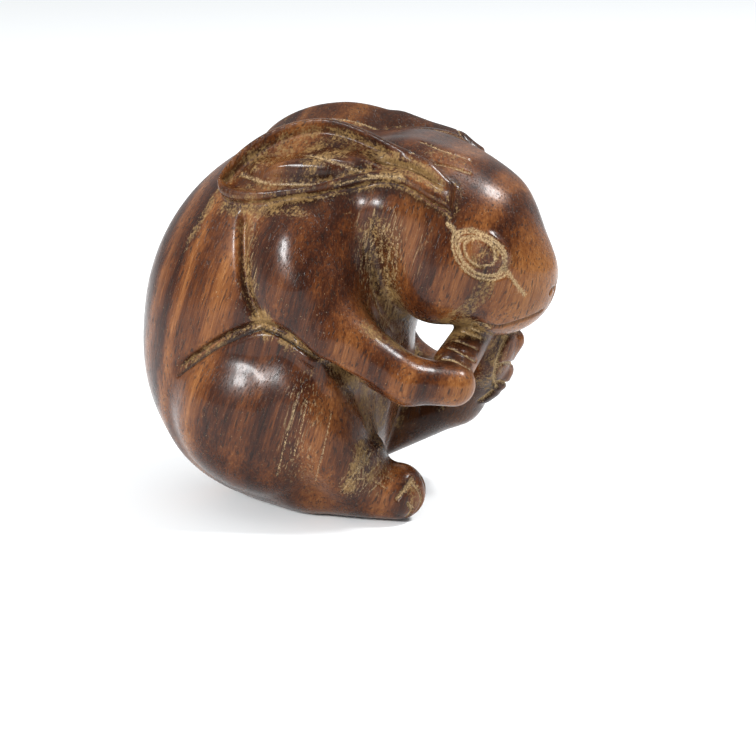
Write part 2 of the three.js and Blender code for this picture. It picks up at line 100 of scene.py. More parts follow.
SHOULDER = ((-1.3, -7, 23.6), (5.2, 5.7, 8.2), 4)
RIGHT_ARM = (
    ((0.3, -8.9, 22.5), (2.2, -9.8, 18.8), (4.2, 3.5)),
    ((2.4, -9.8, 18.7), (9.4, -9.2, 14.7), (3.3, 2.15)),
    ((9.4, -9.2, 14.7), (13.3, -7.2, 14.1), (2.15, 2.05)),
)
LEFT_ARM = (
    ((0, 8.9, 22.5), (1.6, 9.6, 14.2), (4.2, 3.1)),
    ((1.8, 9.6, 13), (7.5, 8.6, 10.6), (2.7, 1.9)),
    ((7.5, 8.6, 10.6), (12.2, 5.8, 13.2), (1.9, 1.7)),
)
HANDS = (
    ((12.9, -5.3, 15.6), (13.7, -1.6, 17.5), (2, 1.8)),
    ((12.4, 4.8, 14), (13.7, 1, 17.2), (1.8, 1.7)),
)

HAUNCH = ((-5, -6.2, 10.3), (9.4, 7.2, 9.1), 14)
THIGH = ((0.4, -7.4, 10.9), (4.3, 5.7, 9.2), -28)
ANKLE = ((3, -6.6, 4.8), (4, 3.4, 3.6), 25)
RIGHT_FOOT = ((-2, -6.4, 2.9), (7.5, -5.8, 2.8), (2.9, 2.75))
LEFT_SHANK = ((0.8, 7.4, 6.3), (9.6, 6.6, 9.6), (4.6, 3.4))
LEFT_FOOT = ((9.7, 6.4, 9.6), (13.7, 4.4, 13.4), (3.1, 2.3))
LEFT_SOLE = ((14.6, 3.2, 14.9), (2, 2.3, 3.4), 28)
LEFT_TOES = (
    ((15, 4.3, 13.9), (16.3, 3.9, 15.9), (1.25, 1.2)),
    ((14.6, 4.7, 11.6), (15.2, 4.5, 12.7), (1.2, 1.15)),
    ((13.1, 5.3, 10.2), (13.9, 5, 10.8), (1.25, 1.2)),
)

# Creases between the masses of the right flank: a path on the side view (x, z), depth and width.
HAUNCH_CREASE = (
    ((-13.9, 13.3), (-10.9, 15.7), (-7.5, 18.1), (-3.7, 19.6), (-0.2, 18.4), (4.1, 15.4), (7.4, 13.9)),
    0.7, 0.5,
)
THIGH_CREASE = (((1.7, 17.2), (3.7, 14.7), (4.7, 12.4), (5.4, 10.2), (6.1, 7.4)), 1.0, 0.8)
SHOULDER_CREASE = (((-6.4, 30.2), (-6.1, 26.5), (-5.4, 22.6), (-3.7, 19.6)), 0.6, 0.5)
CREASE_FADE = 0.15

# Low relief on the big forms: from, to, radii, and how far it stands out (or, below 0, is cut back).
DRESSING = (
    ((4.5, 0, 36.9), (12.0, 0, 35.8), (2.6, 2.6), -0.55),
    ((5.0, 4.9, 36.4), (10.5, 4.4, 35.4), (1.6, 1.5), 0.5),
    ((19.4, -1.0, 29.4), (20.6, -1.0, 26.6), (2.6, 2.4), -0.2),
    ((19.4, 1.0, 29.4), (20.6, 1.0, 26.6), (2.6, 2.4), -0.2),
    ((2.6, -11.6, 15.2), (5.2, -8.8, 9.4), (1.3, 1.5), 0.35),
    ((-15.5, -1, 10), (-11.5, -1, 3.5), (7, 7), 0.6),
    ((13, 0, 31.5), (16.5, 0, 30), (4, 4), 0.35),
    ((-5.6, -6.7, 33.5), (1.2, -7.9, 33.8), (1.0, 0.8), 0.5),
    ((-5.6, 6.7, 33.5), (1.2, 7.9, 33.8), (1.0, 0.8), 0.4),
)

# Almond rings around the eye, in shares of its two half axes: length, height, shift along, shift up.
EYE_MIDDLE = (15.75, -7.05, 26.5)
EYE_LENGTHWISE, EYE_UPWARDS = (2.05, 0.95, -1.8), (1.05, 0.35, 1.55)
EYE_RINGS = (
    (1.1, 1.06, 0, 0), (0.98, 0.9, 0, 0.02), (0.86, 0.8, 0.03, -0.04), (0.56, 0.62, -0.08, 0.06),
)
EYE_RING_POINTS, EYE_POINTEDNESS = 17, 0.25

# Lines cut with a fine graver, as points near the surface. Those named RIGHT are cut on both sides.
RIGHT_EYE_TAILS = (
    ((13.8, -7.6, 28.1), (13.3, -7.6, 28.8), (12.8, -7.6, 29.3)),
    ((17.8, -5.6, 24.9), (18.5, -5.2, 23.8), (19.3, -4.4, 22.4)),
)
TOE_CUTS = (
    ((9.3, -6.9, 4.5), (9.0, -7.8, 3.9), (8.2, -8.4, 2.9)),
    ((9.5, -7.1, 4.2), (10.1, -6.7, 3.1), (10.0, -6.3, 1.9), (9.7, -6.4, 1.0)),
    ((9.2, -7.9, 2.3), (9.4, -7.3, 1.5), (8.8, -6.9, 0.7)),
    ((9.9, -5.4, 4.2), (10.5, -5.2, 3.0), (10.3, -5.2, 1.6)),
    ((9.4, -4.2, 4.3), (10.1, -3.9, 3.0), (9.8, -4.0, 1.6)),
    ((16.2, 1.7, 16.7), (15.8, 1.2, 15.4), (15.4, 1.3, 14.0), (15.0, 2.2, 12.4), (14.9, 3.6, 10.9)),
    ((15.4, 1.4, 13.9), (16.1, 2.1, 13.9), (16.3, 3.6, 13.6), (16.0, 5.0, 13.4)),
    ((13.1, 4.2, 9.4), (13.6, 4.1, 9.8), (14.4, 3.9, 10.6)),
    ((14.9, 2.9, 11.7), (15.4, 3.8, 11.6), (15.2, 5.2, 11.4)),
)
FINGER_CUTS = (
    ((12.2, -7.1, 16.5), (13.4, -7.2, 16.4), (14.4, -7.0, 15.9), (15.1, -6.3, 15.3)),
    ((12.4, -6.1, 17.3), (13.6, -6.4, 17.0), (14.6, -6.0, 16.4), (15.2, -5.2, 15.9)),
    ((12.9, -5.2, 17.8), (14.1, -5.2, 17.5), (15.0, -4.5, 16.9)),
    ((13.2, -3.9, 18.3), (14.2, -4.0, 18.1), (15.1, -3.4, 17.7)),
    ((15.9, -3.8, 18.8), (15.1, -4.4, 19.4), (14.4, -4.3, 19.3), (14.1, -3.7, 18.7), (14.7, -3.5, 18.4)),
    ((11.6, 6.3, 14.8), (12.7, 5.7, 15.3), (13.6, 4.7, 15.9)),
    ((11.9, 5.3, 15.8), (12.9, 4.8, 16.3), (13.9, 3.9, 16.9)),
)
RIGHT_FACE_CUTS = (
    ((20.3, -1.5, 20.3), (19.5, -2.6, 19.9), (18.3, -3.4, 19.5), (16.8, -3.8, 19.1), (15.3, -4.3, 19.3)),
    ((21.3, -0.4, 22.3), (21.2, -1.0, 22.4), (21.0, -1.3, 22.0)),
)
LIP_CLEFT = (
    ((21.2, 0, 22.6), (21.2, 0, 21.2), (20.4, 0, 20.0)),
)
RIGHT_CREST_CUTS = (
    ((8.9, -3.1, 36.1), (10.9, -3.3, 35.4), (13.6, -2.5, 34.3)),
    ((8.9, -6.5, 35.5), (11.3, -4.9, 34.3), (13.9, -4.0, 33.4)),
)
BETWEEN_THE_EARS = (
    (
        (-9.0, 3.2, 34.0), (-4.0, 3.1, 36.1), (0, 3.0, 36.7),
        (4.0, 3.0, 35.9), (8.0, 3.0, 35.7), (12.0, 2.9, 34.9),
    ),
)
RIGHT_EAR_CUTS = (
    ((-1.0, -6.9, 34.9), (1.6, -7.9, 34.7), (3.8, -7.9, 34.0), (6.3, -8.4, 33.5), (8.4, -8.3, 33.6)),
)
LOWER_EAR_CUT = (
    ((-7.4, -6.7, 32.7), (-4.0, -8.1, 32.3), (0, -8.4, 32.5), (3.5, -8.9, 32.9), (6.2, -8.3, 33.3)),
)
CREASE_CUTS = (
    ((-13.0, -9.5, 13.6), (-9.7, -10.5, 16.2), (-6.0, -11.3, 18.4), (-3.8, -11.3, 19.3)),
    ((-3.7, -11.6, 19.4), (-1.4, -11.8, 18.5), (2.0, -12.2, 16.9), (4.5, -9.6, 15.0)),
    (
        (-13.0, 9.5, 13.6), (-9.7, 10.5, 16.2), (-6.0, 11.3, 18.4),
        (-3.8, 11.3, 19.3), (-1.4, 11.8, 18.5), (2.0, 12.2, 16.4),
    ),
    ((-5.9, 9.2, 29.0), (-5.3, 10.8, 25.8), (-4.8, 11.4, 22.7), (-3.8, 11.3, 19.4)),
)
FUR_CUTS = (
    ((5.3, -8.5, 28.5), (5.0, -8.3, 26.9), (5.2, -8.0, 24.5)),
    ((6.0, -8.2, 27.8), (5.3, -7.8, 25.6), (5.4, -7.5, 23.0)),
    ((7.1, -8.8, 29.2), (6.6, -8.1, 27.4), (6.4, -7.0, 25.1)),
    ((7.8, -8.3, 27.5), (6.9, -7.3, 25.2), (6.6, -6.1, 22.1)),
    ((8.6, -8.7, 29.0), (8.1, -8.2, 26.9), (7.9, -7.7, 24.8)),
    ((5.6, -7.3, 22.5), (6.1, -6.7, 20.3), (6.8, -4.8, 18.1)),
    ((0, -12.8, 13.7), (-1.0, -13.1, 9.9), (-2.5, -11.9, 5.3)),
    ((0.8, -12.7, 13.0), (0.2, -13.1, 10.0), (-0.6, -12.5, 7.6)),
    ((2.9, -11.9, 12.0), (2.3, -12.7, 8.3), (1.0, -10.9, 4.8)),
    ((5.5, -9.3, 7.9), (4.9, -10.8, 6.1), (3.8, -10.9, 4.3)),
    ((6.5, -8.1, 6.3), (6.0, -9.4, 5.7), (5.4, -10.1, 5.1)),
    ((4.7, -10.8, 5.3), (6.0, -9.4, 4.8), (7.2, -8.4, 3.8)),
    ((5.9, -9.1, 7.4), (5.3, -10.4, 6.2), (4.5, -10.8, 4.9)),
    ((5.2, -10.0, 6.9), (4.6, -10.9, 5.6), (3.6, -11.0, 3.8)),
    ((6.6, -8.3, 5.4), (5.9, -9.6, 4.6), (5.2, -10.2, 3.6)),
    ((7.4, -8.2, 5.2), (6.8, -9.0, 4.4), (6.0, -9.7, 3.4)),
)
# Where fine strokes were scratched along the fur: from, to, radii and how many show, from 0 to 1.
FUR_PATCHES = (
    ((5.5, -9.2, 7.6), (4.6, -10.8, 4.2), (1.8, 1.6), 1.0),
    ((7.0, -8.3, 5.6), (6.2, -9.2, 4.2), (1.4, 1.2), 0.8),
    ((6.6, -8.6, 28.8), (6.3, -7.4, 24.0), (2.4, 2.4), 1.0),
    ((6.2, -7.2, 23.4), (7.0, -5.4, 19.6), (1.6, 1.8), 0.9),
    ((0.6, -12.8, 13.4), (-0.6, -12.2, 6.0), (2.2, 2.4), 0.5),
    ((-5.6, -9.6, 28.6), (-4.6, -11.4, 23.4), (1.2, 1.2), 0.8),
    ((10.4, -8.6, 28.6), (9.6, -8.2, 25.2), (1.4, 1.2), 0.45),
    ((5.2, -6.9, 11.4), (5.9, -6.6, 8.0), (1.8, 1.6), 0.8),
)

# Where wax and dust lie thickest: from, to, radii and how much, from 0 to 1.
WAX_PATCHES = (
    ((-8.6, -8.3, 29.8), (-0.3, -10.6, 30.1), (0.9, 0.8), 0.6),
    ((-9.6, -6.9, 31.2), (-12.3, -8.4, 25.8), (0.75, 0.5), 0.6),
    ((-6.0, -9.2, 29.2), (-4.8, -11.4, 22.7), (1.3, 1.5), 0.5),
    ((-3.7, -11.6, 20.4), (-3.6, -11.6, 19.6), (1.5, 1.5), 0.8),
    ((-1.4, -11.8, 18.5), (4.5, -8.0, 14.2), (1.1, 1.4), 0.75),
    ((6.3, -8.6, 28.6), (6.7, -5.8, 20.5), (1.9, 2.2), 0.5),
    ((6.1, -10.6, 19.5), (9.8, -8.6, 17.2), (1.3, 1.0), 0.62),
    ((16.3, -6.4, 23.6), (13.2, -6.1, 20.2), (1.1, 1.3), 0.55),
    ((7.5, -5.2, 20.7), (12.4, -6.1, 19.9), (0.9, 0.9), 0.66),
    ((14.1, -4.7, 19.6), (14.7, -3.5, 18.4), (1.1, 1.1), 0.7),
    ((5.2, -10.2, 7.7), (4.1, -10.8, 4.5), (1.4, 1.2), 0.66),
    ((6.6, -8.1, 6.0), (6.1, -9.2, 5.1), (1.1, 1.1), 0.6),
    ((4.8, -6.8, 11.6), (5.6, -6.6, 8.1), (2.2, 1.8), 0.58),
    ((15.2, 0.9, 16.2), (14.1, 2.8, 11.5), (1.6, 1.5), 0.58),
    ((-0.2, -7.9, 34.6), (2.4, -6.8, 35.3), (1.4, 1.2), 0.62),
    ((7.1, -8.3, 33.7), (8.5, -8.2, 33.6), (0.9, 0.8), 0.72),
    ((9.6, -3.8, 35.6), (13.2, -3.9, 33.9), (1.2, 1.2), 0.4),
    ((9.3, -7.5, 4.0), (9.8, -7.0, 1.9), (0.9, 0.9), 0.55),
    (EYE_MIDDLE, (15.4, -7.2, 26.6), (2.5, 2.5), 0.46),
    ((10.5, 3, 10.2), (8, 5, 8), (1.2, 1.2), 0.4),
    ((-12.6, 9.6, 13.9), (-6.0, 11.2, 18.4), (0.5, 0.8), 0.5),
    ((-6.0, 11.2, 18.4), (1.6, 12.0, 16.8), (0.8, 0.7), 0.5),
    ((-5.6, 10.0, 28.2), (-3.9, 11.3, 19.6), (0.6, 0.8), 0.45),
    ((4.8, -4.6, 11.6), (5.2, -2.8, 8.2), (1.8, 1.6), 0.55),
    ((6.6, -3.4, 21), (6.5, -3.2, 15), (2.4, 2.2), 0.5),
)
# Places painted darker: mostly painted shade, as in the neck's valley, between chin and paw, under the
# ear, on the belly, inside the opening and over the far legs; some old grime.
GRIME_AND_SHADE_PATCHES = (
    ((7.0, -7.6, 28.4), (7.0, -5.8, 21.5), (2.2, 1.9), 0.6),
    ((5.4, -6.6, 12.2), (6.2, -6.2, 7.6), (2.4, 2.0), 0.6),
    ((12.0, -5.0, 19.4), (14.6, -3.6, 18.6), (1.4, 1.4), 0.9),
    ((6.5, 3.5, 9.5), (12.5, 4.5, 11.8), (3.4, 2.2), 0.6),
    ((-2, -10, 30.6), (6, -10, 31.2), (0.8, 0.8), 0.5),
    ((-7, 5.2, 35.5), (8, 5.2, 35.4), (2.6, 2.4), 0.5),
    ((-6, -6.4, 32.6), (2, -7.2, 34.6), (2.2, 2.2), 0.45),
    ((13.2, 3.8, 10.4), (3, 6.6, 6.6), (3.4, 4.8), 0.72),
    ((12.6, -7.0, 16.4), (14.2, -6.8, 15.8), (1.3, 1.2), 0.55),
    ((4.8, -4.6, 11.6), (5.2, -2.8, 8.2), (2.2, 2.2), 0.6),
    ((6.6, -2.6, 22), (6.4, -2.4, 14), (3, 3), 0.5),
)

# How wax gathers by itself: (reach of a hollow, amount), (crease, share of its width), then the ears'
# dish and stalk, and what the rubbed fold loses. Painted shade darkens the hollows, and grime the ears'
# rims.
WAX_IN_HOLLOWS = ((0.7, 1.0), (2.5, 0.36))
WAX_IN_CREASES = ((HAUNCH_CREASE, 0.6), (SHOULDER_CREASE, 0.75))
CREASE_WAX = 0.62
DISH_WAX, STALK_WAX = 0.5, 0.18
FOLD_AS_RUBBED, FOLD_LOSS, FOLD_POLISH = (0.3, 1.1, 0.6), 0.45, 0.6
# Painted shade in the hollows: how far it looks for cover and how dark it gets; then grime on the ears'
# rims.
SHADE_REACH, HOLLOW_SHADE, RIM_GRIME = 1.8, 0.85, 0.5

# The net that skins the carving. A coarse one, its step counted in fine steps, finds the surface first.
NET_STEP = 0.125
NET_COARSENESS = 4
BLOCK_LOW = (-21.0, -15.25, -1.2)
BLOCK_HIGH = (24.0, 15.25, 40.5)
GRID_PIECE = 400_000
MOST_TRIANGLES = 190_000
SNUGNESS = 0.9995

# How often the graver's stroke swells, in waves per mm, and the thinnest line it can cut.
GRAVER_WAVES, THINNEST_LINE = 1.7, 0.01


# ------------------------------------------------------------------ shaping tools

def ramp(low, high, x):
    """Smooth step from 0 at low to 1 at high."""
    t = np.clip((x - low) / (high - low), 0, 1)
    return t * t * (3 - 2 * t)


def join(a, b, softness):
    """Two depths joined with a fillet."""
    overlap = np.maximum(softness - np.abs(a - b), 0) / softness
    return np.minimum(a, b) - overlap * overlap * softness / 4


def meet(a, b, softness):
    """What lies inside both."""
    return -join(-a, -b, softness)


def join_all(depths, softness):
    """All the depths joined, one after another."""
    whole = depths[0]
    for depth in depths[1:]:
        whole = join(whole, depth, softness)
    return whole


def egg(x, y, z, mass):
    """An egg-shaped mass, tilted about the cross axis."""
    centre, radii, degrees = mass
    tilt = math.radians(degrees)
    dx, dz = x - centre[0], z - centre[2]
    u = (dx * math.cos(tilt) - dz * math.sin(tilt)) / radii[0]
    v = (y - centre[1]) / radii[1]
    w = (dx * math.sin(tilt) + dz * math.cos(tilt)) / radii[2]
    reach = np.sqrt(u * u + v * v + w * w)
    slope = np.sqrt((u / radii[0]) ** 2 + (v / radii[1]) ** 2 + (w / radii[2]) ** 2)
    return reach * (reach - 1) / np.maximum(slope, 1e-6)


def limb(x, y, z, bone):
    """A round-ended limb that narrows from one radius to the other."""
    start, end, radii = bone
    line = [e - s for s, e in zip(start, end)]
    gap = (x - start[0], y - start[1], z - start[2])
    along = np.clip(sum(g * v for g, v in zip(gap, line)) / sum(v * v for v in line), 0, 1)
    away = np.sqrt(sum((g - v * along) ** 2 for g, v in zip(gap, line)))
    return away - (radii[0] + (radii[1] - radii[0]) * along)


def curve_through(points, per_span=6):
    """A smooth path through the points."""
    nodes = [np.array(p, float) for p in points]
    nodes = [2 * nodes[0] - nodes[1], *nodes, 2 * nodes[-1] - nodes[-2]]
    path = []
    for a, b, c, d in zip(nodes, nodes[1:], nodes[2:], nodes[3:]):
        bend, twist = 2 * a - 5 * b + 4 * c - d, 3 * b - a - 3 * c + d
        for t in np.arange(per_span) / per_span:
            path.append(0.5 * (2 * b + (c - a) * t + bend * t**2 + twist * t**3))
    return path + [nodes[-2]]


def near_path(u, v, points):
    """Distance from (u, v) to a smooth path, and how far along it that is, from 0 to 1."""
    path = curve_through(points)
    nearest = np.full(u.shape, 1e9, np.float32)
    along = np.zeros(u.shape, np.float32)
    last = len(path) - 1
    for i in range(last):
        start, line = path[i], path[i + 1] - path[i]
        t = (u - start[0]) * line[0] + (v - start[1]) * line[1]
        t = np.clip(t / (line @ line), 0, 1)
        away = (u - start[0] - line[0] * t) ** 2 + (v - start[1] - line[1] * t) ** 2
        closer = away < nearest
        nearest = np.where(closer, away, nearest)
        along = np.where(closer, (i + t) / last, along)
    return np.sqrt(nearest), along


def crease_mark(x, y, z, crease, spread=1.0):
    """1 in the bottom of a crease of the right flank, 0 away from it; it fades out at both ends."""
    points, _, width = crease
    away, along = near_path(x, z, points)
    fade = ramp(0, CREASE_FADE, along) * ramp(0, CREASE_FADE, 1 - along)
    return np.exp(-((away / (width * spread)) ** 2)) * fade * ramp(2, 4, -y)


# ------------------------------------------------------------------ the hare

def trunk(x, y, z):
    """Full through the flanks, and flat in front where the breast is."""
    centre, radii = TRUNK
    n = TRUNK_FULLNESS
    u, w = (x - centre[0]) / radii[0], (z - centre[2]) / radii[2]
    v = np.abs(y) / radii[1] + 1e-6
    ring = np.sqrt(u * u + w * w) + 1e-6
    reach = (ring**n + v**n) ** (1 / n)
    pull = reach ** (1 - n)
    slope = np.sqrt(
        (pull * ring ** (n - 2) * u / radii[0]) ** 2
        + (pull * v ** (n - 1) / radii[1]) ** 2
        + (pull * ring ** (n - 2) * w / radii[2]) ** 2
    )
    ball = (reach - 1) / np.maximum(slope, 0.5 / radii[2])
    breast = x - BREAST_FRONT + np.maximum(0, BREAST_WAIST - z) * BREAST_SLOPE + y * y * BREAST_ROUNDNESS
    return join(meet(ball, breast, 3), egg(x, y, z, THROAT), 1.5)


def head(x, y, z):
    """The skull and muzzle, with the paired masses on both sides."""
    side = -np.abs(y)
    depth = join(egg(x, y, z, SKULL), egg(x, y, z, MUZZLE), 3)
    depth = join(depth, egg(x, y, z, BROW), 2)
    depth = join(depth, egg(x, side, z, NECK), 2)
    depth = join(depth, egg(x, side, z, CHEEK), 1.2)
    depth = join(depth, egg(x, y, z, LIPS), 0.5)
    return join(depth, egg(x, side, z, EYE), 0.25)


def ear_place(x, y, z):
    """Along the ear from root to tip, across it from its middle line, and out of its face."""
    dy, dz = -np.abs(y) - EAR_FOOT[0], z - EAR_FOOT[1]
    across = dy * math.cos(EAR_LEAN) + dz * math.sin(EAR_LEAN)
    out = -dy * math.sin(EAR_LEAN) + dz * math.cos(EAR_LEAN)
    reach = (EAR_ROOT - x) / np.where(y > 0, LEFT_EAR_LENGTH, EAR_LENGTH)
    along = np.clip(reach, 0, 1)
    to_root = np.where(y > 0, LEFT_EAR_SINK, EAR_SINK) * (1 - along / EAR_WAIST) ** 2
    to_tip = np.where(y > 0, LEFT_EAR_DROOP, EAR_DROOP) * ((along - EAR_WAIST) / (1 - EAR_WAIST)) ** 2
    middle = EAR_ARCH - np.where(along < EAR_WAIST, to_root, to_tip)
    return reach, along, across - middle, out


def ear_edge(reach, along, off):
    """Distance inside the ear's outline, negative inside."""
    half = EAR_ROOT_WIDTH + EAR_STALK * ramp(*SLIT_OPENS, along) + EAR_BLADE * ramp(*EAR_WIDENS, along)
    rounding = np.sqrt(1 - (np.maximum(along - EAR_ROUND_FROM, 0) / EAR_ROUND_LENGTH) ** 2)
    blunt = EAR_BLUNTNESS + (1 - EAR_BLUNTNESS) * (1 - along) / EAR_ROUND_LENGTH
    blunt = np.where(along > EAR_ROUND_FROM, blunt, 1)
    edge = np.maximum(np.abs(off) - half * rounding, -reach * EAR_LENGTH)
    return edge * blunt + np.maximum(reach - 1, 0) * EAR_LENGTH


def ear_fold(along, off, width, swell, length):
    """1 along the ridge of the fold inside the ear, 0 away from it; it is widest halfway along."""
    halfway = np.sin(np.pi * np.clip((along - FOLD_FROM) / length, 0, 1))
    return np.exp(-(((off - FOLD_OFF) / (width + swell * halfway)) ** 2))


def ear(x, y, z):
    """A leaf lying back on the shoulder: a stalk with a slit, then a dished blade with a fold."""
    reach, along, off, out = ear_place(x, y, z)
    edge = ear_edge(reach, along, off)
    face = EAR_FACE - EAR_BOW * (2 * along - 1) ** 2 - EAR_TUCK * (1 - ramp(0, EAR_ROOT_END, along))
    dish = ramp(*DISH_WALL, -edge) * ramp(*DISH_STARTS, along)
    fold = ear_fold(along, off, *FOLD_AS_CUT) * ramp(*FOLD_RISES, along) * (1 - ramp(*FOLD_FALLS, along))
    slit = np.exp(-(((off - SLIT_OFF) / SLIT_WIDTH) ** 2))
    slit = slit * (1 - ramp(*SLIT_CLOSES, along)) * ramp(*SLIT_OPENS, along)
    top = face - DISH_DEPTH * dish + FOLD_HEIGHT * fold * dish - SLIT_DEPTH * slit
    return meet(meet(edge, out - top, EAR_EDGE), face - out - EAR_THICKNESS, EAR_EDGE)


def arm(x, y, z, bones):
    """A foreleg with its shoulder, bent up to the mouth."""
    upper, fore, paw = (limb(x, y, z, bone) for bone in bones)
    shoulder = egg(x, -np.abs(y), z, SHOULDER)
    return join(join(join(shoulder, upper, 2), fore, 1.5), paw, 1)


def right_leg(x, y, z):
    """Folded flat, with its foot on the ground."""
    folded = join_all([egg(x, y, z, mass) for mass in (HAUNCH, THIGH, ANKLE)], 1.5)
    return join(folded, limb(x, y, z, RIGHT_FOOT), 1)


def left_leg(x, y, z):
    """Raised, so that its foot reaches the mouth."""
    folded = join(egg(x, -y, z, HAUNCH), limb(x, y, z, LEFT_SHANK), 1.5)
    foot = join(limb(x, y, z, LEFT_FOOT), egg(x, y, z, LEFT_SOLE), 1)
    toes = [limb(x, y, z, toe) for toe in LEFT_TOES]
    return join_all([join(folded, foot, 1), *toes], 0.3)


def hare(x, y, z):
    """Distance to the carved surface, negative inside the wood."""
    limbs = [left_leg(x, y, z), right_leg(x, y, z), arm(x, y, z, RIGHT_ARM), arm(x, y, z, LEFT_ARM)]
    depth = join_all([trunk(x, y, z), *limbs], 0.6)
    lean_x, lean_y, drop = RUMP_TUCK
    tuck = -(z + lean_x * x + lean_y * y + drop) / math.hypot(1, lean_x, lean_y)
    depth = meet(depth, tuck, 3)
    depth = join(depth, head(x, y, z), 1.2)
    depth = join(depth, join_all([limb(x, y, z, hand) for hand in HANDS], 0.8), 0.6)
    depth = join(depth, ear(x, y, z), 0.25)
    for crease in (HAUNCH_CREASE, THIGH_CREASE, SHOULDER_CREASE):
        depth = depth + crease[1] * crease_mark(x, y, z, crease)
    for start, end, radii, raised in DRESSING:
        away = limb(x, y, z, (start, end, radii))
        depth = depth - raised * (1 - ramp(-0.9 * min(radii), 0.4 * min(radii), away))
    return meet(depth, -z, 0.5)


# ------------------------------------------------------------------ skinning the hare with a net

def depths_on_grid(step):
    """The hare's depth on a fine grid, worked out in full only near the surface."""
    low, high = np.array(BLOCK_LOW), np.array(BLOCK_HIGH)
    count = np.ceil((high - low) / step).astype(int) + 1
    fine = [low[i] + step * np.arange(count[i]) for i in range(3)]
    wide = step * NET_COARSENESS
    coarse = [np.arange(low[i], high[i] + 2 * wide, wide) for i in range(3)]
    rough = hare(*np.meshgrid(*[c.astype(np.float32) for c in coarse], indexing="ij"))
    pick = [np.round((fine[i] - low[i]) / wide).astype(int) for i in range(3)]
    depth = rough[np.ix_(*pick)].astype(np.float32)
    close = np.argwhere(np.abs(depth) < 1.4 * wide)
    for start in range(0, len(close), GRID_PIECE):
        i, j, k = close[start:start + GRID_PIECE].T
        depth[i, j, k] = hare(*(fine[a][n].astype(np.float32) for a, n in enumerate((i, j, k))))
    return depth, low


def skin(step):
    """Points and four-sided faces of the surface: one point in each cell that the surface crosses."""
    depth, low = depths_on_grid(step)
    wood = depth < 0
    nx, ny, nz = depth.shape
    corners = [(i, j, k) for i in (0, 1) for j in (0, 1) for k in (0, 1)]
    inside = sum(
        wood[i:nx - 1 + i, j:ny - 1 + j, k:nz - 1 + k].astype(np.int8)
        for i, j, k in corners
    )
    cells = np.argwhere((inside > 0) & (inside < 8))
    number = np.full(inside.shape, -1, np.int32)
    number[tuple(cells.T)] = np.arange(len(cells))

    value = {c: depth[tuple((cells + c).T)] for c in corners}
    total = np.zeros((len(cells), 3))
    crossings = np.zeros(len(cells))
    for corner in corners:
        for axis in (a for a in range(3) if corner[a] == 0):
            other = tuple(1 if a == axis else corner[a] for a in range(3))
            near, far = value[corner], value[other]
            crossed = (near < 0) != (far < 0)
            place = np.tile(np.array(corner, float), (len(cells), 1))
            place[:, axis] += np.where(crossed, near / np.where(crossed, near - far, 1), 0)
            total += place * crossed[:, None]
            crossings += crossed
    points = (total / crossings[:, None] + cells) * step + low

    faces = []
    for axis in range(3):
        shift = [0, 0, 0]
        shift[axis] = 1
        here = wood[:nx - shift[0], :ny - shift[1], :nz - shift[2]]
        there = wood[shift[0]:, shift[1]:, shift[2]:]
        b, c = (axis + 1) % 3, (axis + 2) % 3
        for leaving in (True, False):
            edges = np.argwhere(here & ~there if leaving else ~here & there)
            ring = []
            for db, dc in ((-1, -1), (0, -1), (0, 0), (-1, 0)):
                cell = edges.copy()
                cell[:, b] += db
                cell[:, c] += dc
                ring.append(number[tuple(cell.T)])
            faces.append(np.stack(ring if leaving else ring[::-1], 1))
    return points, np.concatenate(faces)


def plain_mesh(name, points, faces):
    """A mesh from arrays, with faces all of one size."""
    sides = faces.shape[1]
    mesh = bpy.data.meshes.new(name)
    mesh.vertices.add(len(points))
    mesh.vertices.foreach_set("co", points.astype(np.float32).ravel())
    mesh.loops.add(faces.size)
    mesh.loops.foreach_set("vertex_index", faces.astype(np.int32).ravel())
    mesh.polygons.add(len(faces))
    mesh.polygons.foreach_set("loop_start", np.arange(0, faces.size, sides, dtype=np.int32))
    mesh.update(calc_edges=True)
    mesh.validate()
    return mesh


def in_scene(data):
    """A new object in the scene, named after the mesh, lamp or camera that it holds."""
    thing = bpy.data.objects.new(data.name, data)
    bpy.context.scene.collection.objects.link(thing)
    return thing


def made_plain(thing):
    """The object with its modifiers worked into its mesh and taken off."""
    depsgraph = bpy.context.evaluated_depsgraph_get()
    mesh = bpy.data.meshes.new_from_object(thing.evaluated_get(depsgraph))
    old = thing.data
    thing.modifiers.clear()
    thing.data = mesh
    bpy.data.meshes.remove(old)
    return mesh


# ------------------------------------------------------------------ lines cut in the surface

class Grower:
    """A Geometry Nodes tree, with short ways to place its nodes."""

    def __init__(self, name, sizes):
        self.tree = bpy.data.node_groups.new(name, "GeometryNodeTree")
        face = self.tree.interface
        face.new_socket("Geometry", in_out="INPUT", socket_type="NodeSocketGeometry")
        for label, kind in sizes:
            face.new_socket(label, in_out="INPUT", socket_type=kind)
        face.new_socket("Geometry", in_out="OUTPUT", socket_type="NodeSocketGeometry")
        self.given = self.tree.nodes.new("NodeGroupInput").outputs

    def node(self, kind, inputs=None, **settings):
        made = self.tree.nodes.new(kind)
        for name, value in settings.items():
            setattr(made, name, value)
        for name, value in (inputs or {}).items():
            if isinstance(value, bpy.types.NodeSocket):
                self.tree.links.new(value, made.inputs[name])
            else:
                made.inputs[name].default_value = value
        return made

    def maths(self, operation, a, b=0.0, c=0.0):
        return self.node("ShaderNodeMath", {0: a, 1: b, 2: c}, operation=operation).outputs[0]

    def finish(self, geometry, material):
        real = self.node("GeometryNodeRealizeInstances", {"Geometry": geometry}).outputs[0]
        dressed = {"Geometry": real, "Material": material}
        painted = self.node("GeometryNodeSetMaterial", dressed).outputs[0]
        self.node("NodeGroupOutput", {"Geometry": painted})
        return self.tree


